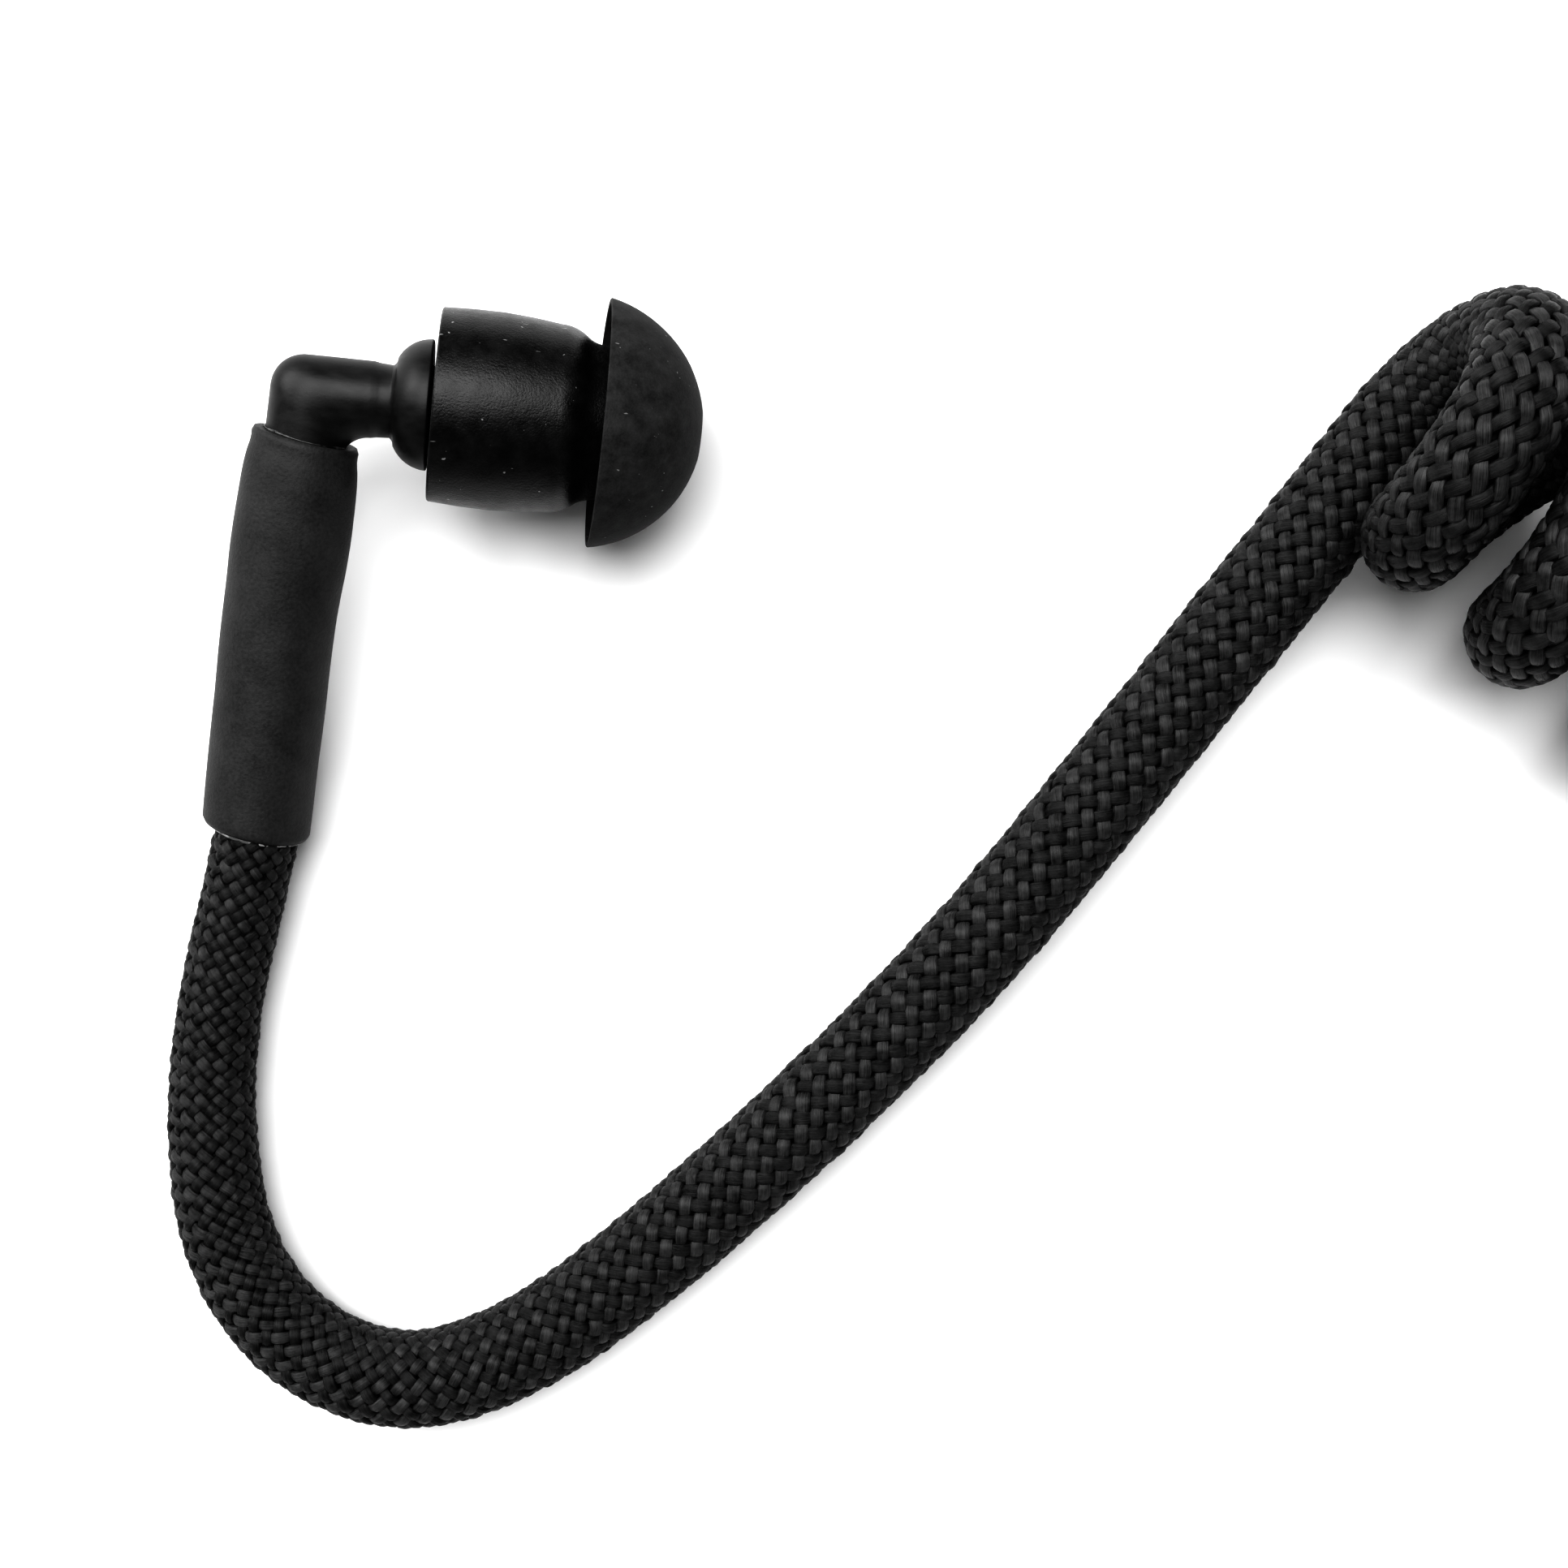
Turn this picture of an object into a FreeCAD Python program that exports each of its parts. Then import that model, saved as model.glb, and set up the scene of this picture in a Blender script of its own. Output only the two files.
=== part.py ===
import FreeCAD, Part
import Sketcher
import math
import os

# An acoustic-tube earpiece: a mushroom ear tip on a moulded elbow, and a braided sound tube that is
# coiled in the middle and ends in a twist-lock connector. Millimetres, +Z up, lying on the XY plane.
# The origin is under the middle of the ear end (tip, elbow and heat-shrink); the nozzle points to +X.

SIZES = {
    # ear tip, measured along the nozzle's axis from the elbow's corner
    "tip_base": 6.4,
    "tip_shoulder": 12.8,
    "tip_neck": 14.6,
    "tip_rim": 14.9,
    "tip_apex": 20.4,
    "tip_stem_radius": 5.0,
    "tip_shoulder_radius": 4.8,
    "tip_neck_radius": 4.1,
    "tip_rim_radius": 6.5,
    "tip_skin": 0.5,
    "tip_socket_depth": 8.4,
    "tip_socket_radius": 2.45,
    "sound_hole_radius": 1.2,
    # elbow
    "arm_radius": 2.0,
    "arm_bore_radius": 0.9,
    "corner_swell": 1.03,
    "elbow_opening_angle": 93.7,
    "tube_arm_length": 6.5,
    "hub_start": 4.3,
    "hub_face": 6.2,
    "hub_radius": 3.38,
    "hub_round": 1.9,
    "spigot_length": 8.2,
    "ridge_radius": 2.3,
    "ridge_length": 1.0,
    "nipple_radius": 1.15,
    "nipple_length": 5.0,
    "barb_height": 0.2,
    "barb_length": 1.4,
    # braided sound tube
    "tube_bore_radius": 1.15,
    "tube_radius": 1.85,
    "braid_inner_radius": 1.9,
    "braid_radius": 2.48,
    "braid_gap": 0.4,
    # heat-shrink sleeves and their hot-melt liners
    "shrink_inner_radius": 2.6,
    "liner_radius": 2.57,
    "liner_clearance": 0.04,
    "liner_squeeze": 0.3,
    "ear_shrink_start": 2.25,
    "ear_shrink_length": 21.4,
    "ear_shrink_bulge": 6.2,
    "shrink_mouth_radius": 2.82,
    "shrink_bulge_radius": 3.08,
    "shrink_end_radius": 2.88,
    "plug_shrink_overlap": 8.0,
    "plug_shrink_length": 14.0,
    # coil
    "coil_radius": 5.3,
    "coil_pitch": 7.65,
    "coil_turns": 4.0,
    "coil_strand_radius": 2.8,
    "coil_heading": -36.6,
    "coil_dip": 4.3,
    # connector, measured along its axis from the end of the sound tube
    "plug_neck_radius": 2.2,
    "plug_neck_length": 9.0,
    "flange_radius": 3.7,
    "flange_length": 1.2,
    "journal_radius": 2.6,
    "journal_length": 3.4,
    "lip_radius": 2.95,
    "lip_length": 0.8,
    "nose_radius": 2.5,
    "nose_length": 2.2,
    "seal_inner_radius": 1.75,
    "seal_outer_radius": 2.25,
    "seal_depth": 0.4,
    "seal_proud": 0.2,
    "socket_radius": 1.5,
    "socket_depth": 5.0,
    # twist collar
    "collar_gap": 0.1,
    "running_gap": 0.05,
    "collar_radius": 4.6,
    "collar_web": 3.2,
    "collar_mouth_radius": 3.7,
    "collar_length": 9.6,
    "collar_chamfer": 0.4,
    "knurl_count": 24.0,
    "knurl_radius": 0.45,
    "knurl_depth": 0.3,
    "slot_width": 1.5,
    "slot_length": 3.4,
    "slot_sweep": 70.0,
}

ELBOW_CORNER = (-7.6, 8.82, 8.545)
NOZZLE_TILT = 8.0  # the nozzle points this far down, so that the rim of the dome rests on the surface
ARM_ROLL = 14.5  # the arm and its heat-shrink slope this far down to the tube on the surface
TIP_ASKEW = 1.0  # the tip sits this far askew on its spigot, towards the arm

# Bend points of the tube from the ear end's heat-shrink to the coil, after one on the arm's own axis
FIRST_BEND = 24.4  # along the arm's axis, from the elbow's corner
RUN_POINTS = [
    (-11.4, -24.0, 2.55),
    (-11.3, -30.5, 2.55),
    (-9.8, -37.0, 2.6),
    (-5.8, -41.7, 2.65),
    (0.3, -43.6, 2.7),
    (6.9, -40.9, 2.75),
    (14.1, -34.4, 3.0),
    (21.7, -26.3, 3.6),
    (29.2, -17.4, 4.2),
    (36.3, -7.1, 4.7),
    (42.4, 1.9, 5.05),
    (46.6, 8.0, 5.1),
]
COIL_START = (49.7, 12.0, 10.4)  # on the coil's axis, above the strand that enters the coil
COIL_LEAD_IN = 2.0  # radians over which the first turn takes up its pitch

# Bend points of the tube from the coil to the connector
TAIL_POINTS = [
    (78.7, 1.4, 2.85),
    (88.0, 3.8, 2.7),
    (97.3, 1.7, 2.7),
    (104.8, -4.5, 2.7),
    (108.7, -13.4, 2.8),
    (108.1, -22.9, 3.6),
    (107.5, -32.1, 4.62),
]
PLUG_START = (107.5, -41.5, 4.62)  # end of the sound tube, on the connector's axis, which points to -Y

X_AXIS = FreeCAD.Vector(1, 0, 0)
Y_AXIS = FreeCAD.Vector(0, 1, 0)
Z_AXIS = FreeCAD.Vector(0, 0, 1)

document = FreeCAD.newDocument("acoustic_tube_earpiece")
sheet = document.addObject("Spreadsheet::Sheet", "Sizes")
for row, (word, value) in enumerate(SIZES.items(), start=1):
    sheet.set(f"A{row}", word)
    sheet.set(f"B{row}", str(value))
    sheet.setAlias(f"B{row}", word)
document.recompute()


def expression(words):
    """Puts the sheet's name before each of its aliases in a formula."""
    return " ".join(f"Sizes.{word}" if word in SIZES else word for word in words.split())


def number(words):
    """The value of a formula of aliases."""
    return float(sheet.evalExpression(expression(words)))


def vector(point):
    return FreeCAD.Vector(*point)


def turned(axis, degrees):
    return FreeCAD.Placement(FreeCAD.Vector(), FreeCAD.Rotation(axis, degrees))


def along_x(distance):
    return FreeCAD.Placement(X_AXIS * distance, FreeCAD.Rotation())


def new_body(name):
    body = document.addObject("PartDesign::Body", name)
    body.Label = name
    return body


def origin_plane(body, role):
    return next(item for item in body.Origin.OriginFeatures if item.Role == role)


def new_sketch(body, name, role):
    sketch = body.newObject("Sketcher::SketchObject", name)
    sketch.AttachmentSupport = [(origin_plane(body, role), "")]
    sketch.MapMode = "FlatFace"
    return sketch


def bound(sketch, kind, *places, words):
    """Adds a constraint whose value follows a formula of the sheet."""
    index = sketch.addConstraint(Sketcher.Constraint(kind, *places, number(words)))
    sketch.setExpression(f"Constraints[{index}]", expression(words))


def arc_between(start, end, radius):
    """The short arc from start to end; a positive radius bulges to the left of the way it goes."""
    chord = end - start
    left = FreeCAD.Vector(-chord.y, chord.x, 0).normalize()
    half = chord.Length / 2
    rise = abs(radius) - math.sqrt(radius**2 - half**2)
    middle = start + chord * 0.5 + left * math.copysign(rise, radius)
    return Part.ArcOfCircle(start, middle, end)


def closed_outline(sketch, corners, arcs=None):
    """A closed outline through corners, pairs of formulas for x and y. arcs gives, by the number of the
    corner that a side leaves, (side, radius formula) for the sides that are arcs: side is 1 or -1."""
    arcs = arcs or {}
    points = [FreeCAD.Vector(number(x), number(y), 0) for x, y in corners]
    count = len(points)
    for index, point in enumerate(points):
        following = points[(index + 1) % count]
        if index in arcs:
            side, words = arcs[index]
            sketch.addGeometry(arc_between(point, following, side * number(words)))
        else:
            sketch.addGeometry(Part.LineSegment(point, following))
    starts = [
        1 if sketch.getPoint(index, 1).isEqual(points[index], 1e-6) else 2
        for index in range(count)
    ]
    for index in range(count):
        following = (index + 1) % count
        sketch.addConstraint(
            Sketcher.Constraint(
                "Coincident", index, 3 - starts[index], following, starts[following]
            )
        )
    for index, (x, y) in enumerate(corners):
        bound(sketch, "DistanceX", -1, 1, index, starts[index], words=x)
        bound(sketch, "DistanceY", -1, 1, index, starts[index], words=y)
    for index, (side, words) in arcs.items():
        bound(sketch, "Radius", index, words=words)


def turned_body(name, corners, arcs=None):
    """A body of revolution about its own X axis; corners are (along the axis, radius)."""
    body = new_body(name)
    sketch = new_sketch(body, f"{name}_outline", "XY_Plane")
    closed_outline(sketch, corners, arcs)
    document.recompute()
    revolution = body.newObject("PartDesign::Revolution", f"{name}_turned")
    revolution.Profile = sketch
    revolution.ReferenceAxis = (sketch, ["H_Axis"])
    revolution.Angle = 360
    sketch.Visibility = False
    document.recompute()
    return body


def ear_tip():
    """Silicone mushroom tip: a stem with a socket for the spigot, and a hollow dome round its neck."""
    dome_height = "( tip_apex - tip_rim )"
    dome_radius = f"( ( {dome_height} ^ 2 + tip_rim_radius ^ 2 ) / ( 2 * {dome_height} ) )"
    centre = f"( tip_apex - {dome_radius} )"
    inner_radius = f"( {dome_radius} - tip_skin )"
    inner_neck = "( tip_neck_radius - 0.1 )"
    return turned_body(
        "ear_tip",
        [
            ("tip_base", "tip_socket_radius"),
            ("tip_base", "tip_stem_radius"),
            ("tip_shoulder", "tip_shoulder_radius"),
            ("tip_neck", "tip_neck_radius"),
            (f"{centre} + sqrt( {inner_radius} ^ 2 - {inner_neck} ^ 2 )", inner_neck),
            ("tip_rim", f"sqrt( {inner_radius} ^ 2 - ( tip_rim - {centre} ) ^ 2 )"),
            ("tip_rim", "tip_rim_radius"),
            (f"{centre} + sqrt( {dome_radius} ^ 2 - sound_hole_radius ^ 2 )", "sound_hole_radius"),
            ("tip_base + tip_socket_depth", "sound_hole_radius"),
            ("tip_base + tip_socket_depth", "tip_socket_radius"),
        ],
        {
            1: (1, "5 * tip_stem_radius"),
            2: (1, "0.45 * tip_stem_radius"),
            4: (-1, inner_radius),
            6: (1, dome_radius),
        },
    )


def nozzle_arm():
    """The elbow's arm towards the ear: arm, half-ball hub and the spigot with its retaining ridge."""
    spigot_end = "hub_face + spigot_length"
    return turned_body(
        "nozzle_arm",
        [
            ("0.01", "arm_bore_radius"),
            ("0.01", "arm_radius"),
            ("hub_start", "0.95 * arm_radius"),
            ("hub_face", "hub_radius"),
            ("hub_face", "arm_radius"),
            (f"{spigot_end} - 2 * ridge_length", "arm_radius"),
            (f"{spigot_end} - ridge_length", "ridge_radius"),
            (spigot_end, "arm_radius - 0.1"),
            (spigot_end, "arm_bore_radius"),
        ],
        {2: (1, "hub_round")},
    )


def barbed(start, length):
    """The outline of a barbed nipple from start, without its bore's end corners."""
    outline = [(start, "nipple_radius")]
    for barb in (2, 1):
        barb_start = f"{start} + {length} - {barb} * barb_length"
        outline.append((barb_start, "nipple_radius"))
        outline.append((barb_start, "nipple_radius + barb_height"))
        outline.append((f"{barb_start} + 0.9 * barb_length", "nipple_radius"))
    outline.append((f"{start} + {length}", "nipple_radius - 0.1"))
    return outline


def tube_arm():
    """The elbow's arm towards the tube, ending in a barbed nipple."""
    nipple = barbed("tube_arm_length", "nipple_length")
    return turned_body(
        "tube_arm",
        [
            ("0.01", "arm_bore_radius"),
            ("0.01", "arm_radius"),
            ("tube_arm_length", "arm_radius"),
            *nipple,
            ("tube_arm_length + nipple_length", "arm_bore_radius"),
        ],
    )


def ball(name, words):
    sphere = document.addObject("Part::Sphere", name)
    sphere.setExpression("Radius", expression(words))
    return sphere


def bore(name, words, placement):
    """A cylinder from the elbow's corner, along X of its placement."""
    cylinder = document.addObject("Part::Cylinder", name)
    cylinder.setExpression("Radius", expression("arm_bore_radius"))
    cylinder.setExpression("Height", expression(words))
    cylinder.Placement = placement.multiply(turned(Y_AXIS, 90))
    return cylinder


def fused(name, shapes):
    fuse = document.addObject("Part::MultiFuse", name)
    fuse.Shapes = shapes
    return fuse


def elbow(to_arm):
    """One moulding: both arms and a ball at their corner, less the sound bore through them."""
    arm = tube_arm()
    arm.Placement = to_arm
    solid = fused("elbow_solid", [nozzle_arm(), arm, ball("elbow_corner", "corner_swell * arm_radius")])
    bores = fused(
        "elbow_bores",
        [
            bore("nozzle_bore", "hub_face + spigot_length + 1", FreeCAD.Placement()),
            bore("arm_bore", "tube_arm_length + nipple_length + 1", to_arm),
            ball("corner_bore", "corner_swell * arm_bore_radius"),
        ],
    )
    cut = document.addObject("Part::Cut", "elbow")
    cut.Base = solid
    cut.Tool = bores
    return cut


def heat_shrink(name, start, bulge, end):
    """A heat-shrink sleeve: it swells over what it covers and narrows to its ends."""
    return turned_body(
        name,
        [
            (start, "shrink_inner_radius"),
            (start, "shrink_mouth_radius"),
            (bulge, "shrink_bulge_radius"),
            (end, "shrink_end_radius"),
            (end, "shrink_inner_radius"),
        ],
        {1: (1, "9 * ear_shrink_bulge"), 2: (1, "8 * ear_shrink_length")},
    )


def glue_liner(name, start, end, step, radius_before, radius_after):
    """The hot-melt inside a heat-shrink, squeezed out at both ends; its bore changes at a step."""
    bore_before = f"{radius_before} + liner_clearance"
    bore_after = f"{radius_after} + liner_clearance"
    return turned_body(
        name,
        [
            (f"{start} - liner_squeeze", bore_before),
            (f"{start} - 0.5 * liner_squeeze", "liner_radius"),
            (f"{end} + 0.5 * liner_squeeze", "liner_radius"),
            (f"{end} + liner_squeeze", bore_after),
            (step, bore_after),
            (step, bore_before),
        ],
    )


def ear_shrink_and_liner():
    start = "ear_shrink_start"
    end = "ear_shrink_start + ear_shrink_length"
    shrink = heat_shrink("ear_heat_shrink", start, f"{start} + ear_shrink_bulge", end)
    braid_start = "tube_arm_length + braid_gap"
    liner = glue_liner("ear_glue_liner", start, end, braid_start, "arm_radius", "braid_radius")
    return shrink, liner


def plug_shrink_and_liner():
    start = "0 - plug_shrink_overlap"
    end = "plug_shrink_length - plug_shrink_overlap"
    shrink = heat_shrink("plug_heat_shrink", start, "0.5 * plug_shrink_length - plug_shrink_overlap", end)
    liner = glue_liner("plug_glue_liner", start, end, "0", "braid_radius", "plug_neck_radius")
    return shrink, liner


def bend_radius(before, corner, after):
    """The radius of the arc at a bend point, and how far from it the arc starts."""
    run_in = corner - before
    run_out = after - corner
    half_turn = run_in.getAngle(run_out) / 2
    reach = 0.45 * min(run_in.Length, run_out.Length)
    return reach / math.tan(half_turn), reach


def tube_path(name, points):
    """Straight runs joined by tangent arcs, as large as their runs allow."""
    edges = []
    radii = []
    here = points[0]
    for before, corner, after in zip(points, points[1:], points[2:]):
        radius, reach = bend_radius(before, corner, after)
        run_in = (corner - before).normalize()
        run_out = (after - corner).normalize()
        arc_start = corner - run_in * reach
        arc_end = corner + run_out * reach
        inward = (run_out - run_in).normalize()
        half_turn = run_in.getAngle(run_out) / 2
        arc_middle = corner + inward * (radius / math.cos(half_turn) - radius)
        edges.append(Part.LineSegment(here, arc_start).toShape())
        edges.append(Part.Arc(arc_start, arc_middle, arc_end).toShape())
        radii.append(round(radius, 1))
        here = arc_end
    edges.append(Part.LineSegment(here, points[-1]).toShape())
    wire = Part.Wire(edges)
    print(f"{name}: {wire.Length:.1f} mm long, bend radii {radii}")
    return wire


def swept(wire, radius):
    start = wire.Edges[0]
    circle = Part.Circle(start.valueAt(start.FirstParameter), start.tangentAt(0), radius)
    return wire.makePipeShell([Part.Wire(circle.toShape())], True, False)


def hose(name, points, outer, inner):
    """A plain tube of a flexible piece along its route."""
    wire = tube_path(name, points)
    outside = number(outer)
    inside = number(inner)
    piece = document.addObject("Part::Feature", name)
    piece.Shape = swept(wire, outside).cut(swept(wire, inside))
    piece.Label = name
    expected = math.pi * (outside**2 - inside**2) * wire.Length
    print(f"{name}: volume {piece.Shape.Volume:.1f}, section times length {expected:.1f}")
    return piece


def coil_advance(angle):
    """How far along the coil's axis a strand is after an angle in radians."""
    taken_up = COIL_LEAD_IN * (1 - math.exp(-angle / COIL_LEAD_IN))
    return number("coil_pitch") / (2 * math.pi) * (angle - taken_up)


def coil_placement():
    """The coil's own frame: X along its axis, Z up through the strand that is on top."""
    heading = FreeCAD.Rotation(Z_AXIS, number("coil_heading"))
    dip = FreeCAD.Rotation(Y_AXIS, number("coil_dip"))
    return FreeCAD.Placement(vector(COIL_START), heading.multiply(dip))


def coil_point(angle):
    """The middle of the strand at an angle: it enters at the bottom and climbs on the far side."""
    radius = number("coil_radius")
    local = (coil_advance(angle), radius * math.sin(angle), -radius * math.cos(angle))
    return coil_placement().multVec(vector(local))


def coil_solid():
    """The outer shape of the coiled stretch: a round-ended drum."""
    end_angle = 2 * math.pi * number("coil_turns")
    drum = document.addObject("Part::Cylinder", "coil_drum")
    drum.setExpression("Radius", expression("coil_radius + coil_strand_radius"))
    drum.Height = coil_advance(end_angle) + 2 * number("coil_strand_radius")
    document.recompute()
    rounded = document.addObject("Part::Fillet", "coil")
    rounded.Base = drum
    rim = number("0.9 * coil_strand_radius")
    rims = [index for index, edge in enumerate(drum.Shape.Edges, start=1) if edge.isClosed()]
    rounded.Edges = [(index, rim, rim) for index in rims]
    along_axis = along_x(-number("coil_strand_radius")).multiply(turned(Y_AXIS, 90))
    rounded.Placement = coil_placement().multiply(along_axis)
    return rounded


def connector_body():
    """The connector's moulding: barbed nipple, neck, flange, journal, snap lip and nose."""
    neck_end = "plug_neck_length"
    flange_end = f"{neck_end} + flange_length"
    journal_end = f"{flange_end} + journal_length"
    lip_end = f"{journal_end} + lip_length"
    nose_end = f"{lip_end} + nose_length"
    groove_floor = f"{nose_end} - seal_depth"
    socket_floor = f"{nose_end} - socket_depth"
    return turned_body(
        "connector_body",
        [
            ("0.01", "arm_bore_radius"),
            ("0.01", "plug_neck_radius"),
            (neck_end, "plug_neck_radius"),
            (neck_end, "flange_radius"),
            (flange_end, "flange_radius"),
            (flange_end, "journal_radius"),
            (journal_end, "journal_radius"),
            (journal_end, "lip_radius"),
            (lip_end, "nose_radius"),
            (nose_end, "nose_radius"),
            (nose_end, "seal_outer_radius"),
            (groove_floor, "seal_outer_radius"),
            (groove_floor, "seal_inner_radius"),
            (nose_end, "seal_inner_radius"),
            (nose_end, "socket_radius"),
            (socket_floor, "socket_radius"),
            (socket_floor, "arm_bore_radius"),
        ],
    )


def connector_nipple():
    """The barbed nipple inside the tube's end, turned on its own and joined to the moulding."""
    return turned_body(
        "connector_nipple",
        [
            ("0.01", "arm_bore_radius"),
            *barbed("0.01", "nipple_length"),
            ("0.01 + nipple_length", "arm_bore_radius"),
        ],
    )


def connector():
    nipple = connector_nipple()
    nipple.Placement = along_x(0.02).multiply(turned(Y_AXIS, 180))
    return fused("connector", [connector_body(), nipple])


def seal_ring():
    nose_end = "plug_neck_length + flange_length + journal_length + lip_length + nose_length"
    return turned_body(
        "face_seal",
        [
            (f"{nose_end} - seal_depth", "seal_inner_radius"),
            (f"{nose_end} - seal_depth", "seal_outer_radius"),
            (f"{nose_end} + 0.5 * seal_proud", "seal_outer_radius"),
            (f"{nose_end} + seal_proud", "0.5 * ( seal_inner_radius + seal_outer_radius )"),
            (f"{nose_end} + 0.5 * seal_proud", "seal_inner_radius"),
        ],
    )


def knurl_cut(body):
    """One knurl groove down the collar's outside, then all of them round the axis."""
    sketch = new_sketch(body, "knurl_outline", "YZ_Plane")
    sketch.addGeometry(Part.Circle(FreeCAD.Vector(0, 1, 0), Z_AXIS, number("knurl_radius")))
    sketch.addConstraint(Sketcher.Constraint("PointOnObject", 0, 3, -2))
    bound(sketch, "Radius", 0, words="knurl_radius")
    bound(sketch, "DistanceY", -1, 1, 0, 3, words="collar_radius + knurl_radius - knurl_depth")
    document.recompute()
    groove = body.newObject("PartDesign::Pocket", "knurl_groove")
    groove.Profile = sketch
    groove.Type = 1
    groove.Midplane = True
    pattern = body.newObject("PartDesign::PolarPattern", "knurls")
    pattern.Originals = [groove]
    pattern.Axis = (sketch, ["N_Axis"])
    pattern.Angle = 360
    pattern.setExpression("Occurrences", expression("knurl_count"))
    body.Tip = pattern
    sketch.Visibility = False
    document.recompute()


def bayonet_slots(body, mouth):
    """Two J-shaped slots through the mouth's wall, opposite each other: straight in, then round."""
    slot_end = f"{mouth} - slot_length"
    past_wall = "( collar_radius + 1 )"
    entry = new_sketch(body, "slot_entry", "XY_Plane")
    closed_outline(
        entry,
        [
            (slot_end, f"0 - {past_wall}"),
            (f"{mouth} + 1", f"0 - {past_wall}"),
            (f"{mouth} + 1", past_wall),
            (slot_end, past_wall),
        ],
    )
    document.recompute()
    straight = body.newObject("PartDesign::Pocket", "slot_straight")
    straight.Profile = entry
    straight.Midplane = True
    straight.setExpression("Length", expression("slot_width"))
    round_outline = new_sketch(body, "slot_round_outline", "XY_Plane")
    closed_outline(
        round_outline,
        [
            (slot_end, "collar_mouth_radius - 0.3"),
            (f"{slot_end} + slot_width", "collar_mouth_radius - 0.3"),
            (f"{slot_end} + slot_width", past_wall),
            (slot_end, past_wall),
        ],
    )
    document.recompute()
    round_cut = body.newObject("PartDesign::Groove", "slot_round")
    round_cut.Profile = round_outline
    round_cut.ReferenceAxis = (round_outline, ["H_Axis"])
    round_cut.setExpression("Angle", expression("slot_sweep"))
    pattern = body.newObject("PartDesign::PolarPattern", "slot_pair")
    pattern.Originals = [round_cut]
    pattern.Axis = (round_outline, ["H_Axis"])
    pattern.Angle = 360
    pattern.Occurrences = 2
    body.Tip = pattern
    entry.Visibility = False
    round_outline.Visibility = False
    document.recompute()


def twist_collar():
    """The knurled collar: a web that runs on the journal, and a mouth with two bayonet slots."""
    start = "plug_neck_length + flange_length + collar_gap"
    web_end = f"{start} + collar_web"
    mouth = f"{start} + collar_length"
    body = turned_body(
        "twist_collar",
        [
            (start, "journal_radius + running_gap"),
            (start, "collar_radius - collar_chamfer"),
            (f"{start} + collar_chamfer", "collar_radius"),
            (f"{mouth} - collar_chamfer", "collar_radius"),
            (mouth, "collar_radius - collar_chamfer"),
            (mouth, "collar_mouth_radius"),
            (web_end, "collar_mouth_radius"),
            (web_end, "journal_radius + running_gap"),
        ],
    )
    plain_volume = body.Shape.Volume
    knurl_cut(body)
    knurled_volume = body.Shape.Volume
    bayonet_slots(body, mouth)
    print(f"twist_collar: {plain_volume:.1f}, knurled {knurled_volume:.1f}, slotted {body.Shape.Volume:.1f}")
    return body


def check(objects):
    for item in document.Objects:
        if "Invalid" in item.State or "Error" in item.State:
            raise RuntimeError(f"{item.Name} failed: {item.State}")
    for name, item in objects.items():
        if item.Shape.isNull() or not item.Shape.isValid():
            raise RuntimeError(f"{name} has no valid shape")


def write(objects):
    os.makedirs("parts", exist_ok=True)
    for name, item in objects.items():
        box = item.Shape.optimalBoundingBox(True, False)
        print(
            f"{name}: {len(item.Shape.Solids)} solid, volume {item.Shape.Volume:.1f},"
            f" x {box.XMin:.2f} {box.XMax:.2f}, y {box.YMin:.2f} {box.YMax:.2f},"
            f" z {box.ZMin:.2f} {box.ZMax:.2f}"
        )
        item.Shape.exportStep(f"parts/{name}.step")


def main():
    tilt = FreeCAD.Rotation(Y_AXIS, NOZZLE_TILT)
    roll = FreeCAD.Rotation(X_AXIS, ARM_ROLL)
    ear_place = FreeCAD.Placement(vector(ELBOW_CORNER), tilt.multiply(roll))
    to_arm = turned(Z_AXIS, -number("elbow_opening_angle"))
    arm_place = ear_place.multiply(to_arm)
    mid_spigot = along_x(number("hub_face + 0.5 * spigot_length"))
    askew = mid_spigot.multiply(turned(Z_AXIS, -TIP_ASKEW)).multiply(mid_spigot.inverse())
    plug_place = FreeCAD.Placement(vector(PLUG_START), FreeCAD.Rotation(Z_AXIS, -90))

    tube_start = arm_place.multVec(X_AXIS * number("tube_arm_length"))
    braid_start = arm_place.multVec(X_AXIS * number("tube_arm_length + braid_gap"))
    first_bend = arm_place.multVec(X_AXIS * FIRST_BEND)
    run = [first_bend, *map(vector, RUN_POINTS), coil_point(0)]
    coil_end = coil_point(2 * math.pi * number("coil_turns"))
    tail = [coil_end, *map(vector, TAIL_POINTS), vector(PLUG_START)]

    ear_shrink, ear_liner = ear_shrink_and_liner()
    plug_shrink, plug_liner = plug_shrink_and_liner()
    placed = {
        "ear_tip": (ear_tip(), ear_place.multiply(askew)),
        "elbow": (elbow(to_arm), ear_place),
        "ear_heat_shrink": (ear_shrink, arm_place),
        "ear_glue_liner": (ear_liner, arm_place),
        "plug_heat_shrink": (plug_shrink, plug_place),
        "plug_glue_liner": (plug_liner, plug_place),
        "connector_body": (connector(), plug_place),
        "face_seal": (seal_ring(), plug_place),
        "twist_collar": (twist_collar(), plug_place),
    }
    nodes = {}
    for name, (item, placement) in placed.items():
        item.Placement = placement
        nodes[name] = item
    nodes["sound_tube_run"] = hose("sound_tube_run", [tube_start, *run], "tube_radius", "tube_bore_radius")
    nodes["braid_run"] = hose("braid_run", [braid_start, *run], "braid_radius", "braid_inner_radius")
    nodes["coil"] = coil_solid()
    nodes["sound_tube_tail"] = hose("sound_tube_tail", tail, "tube_radius", "tube_bore_radius")
    nodes["braid_tail"] = hose("braid_tail", tail, "braid_radius", "braid_inner_radius")
    document.recompute()
    check(nodes)
    write(nodes)


main()
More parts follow.
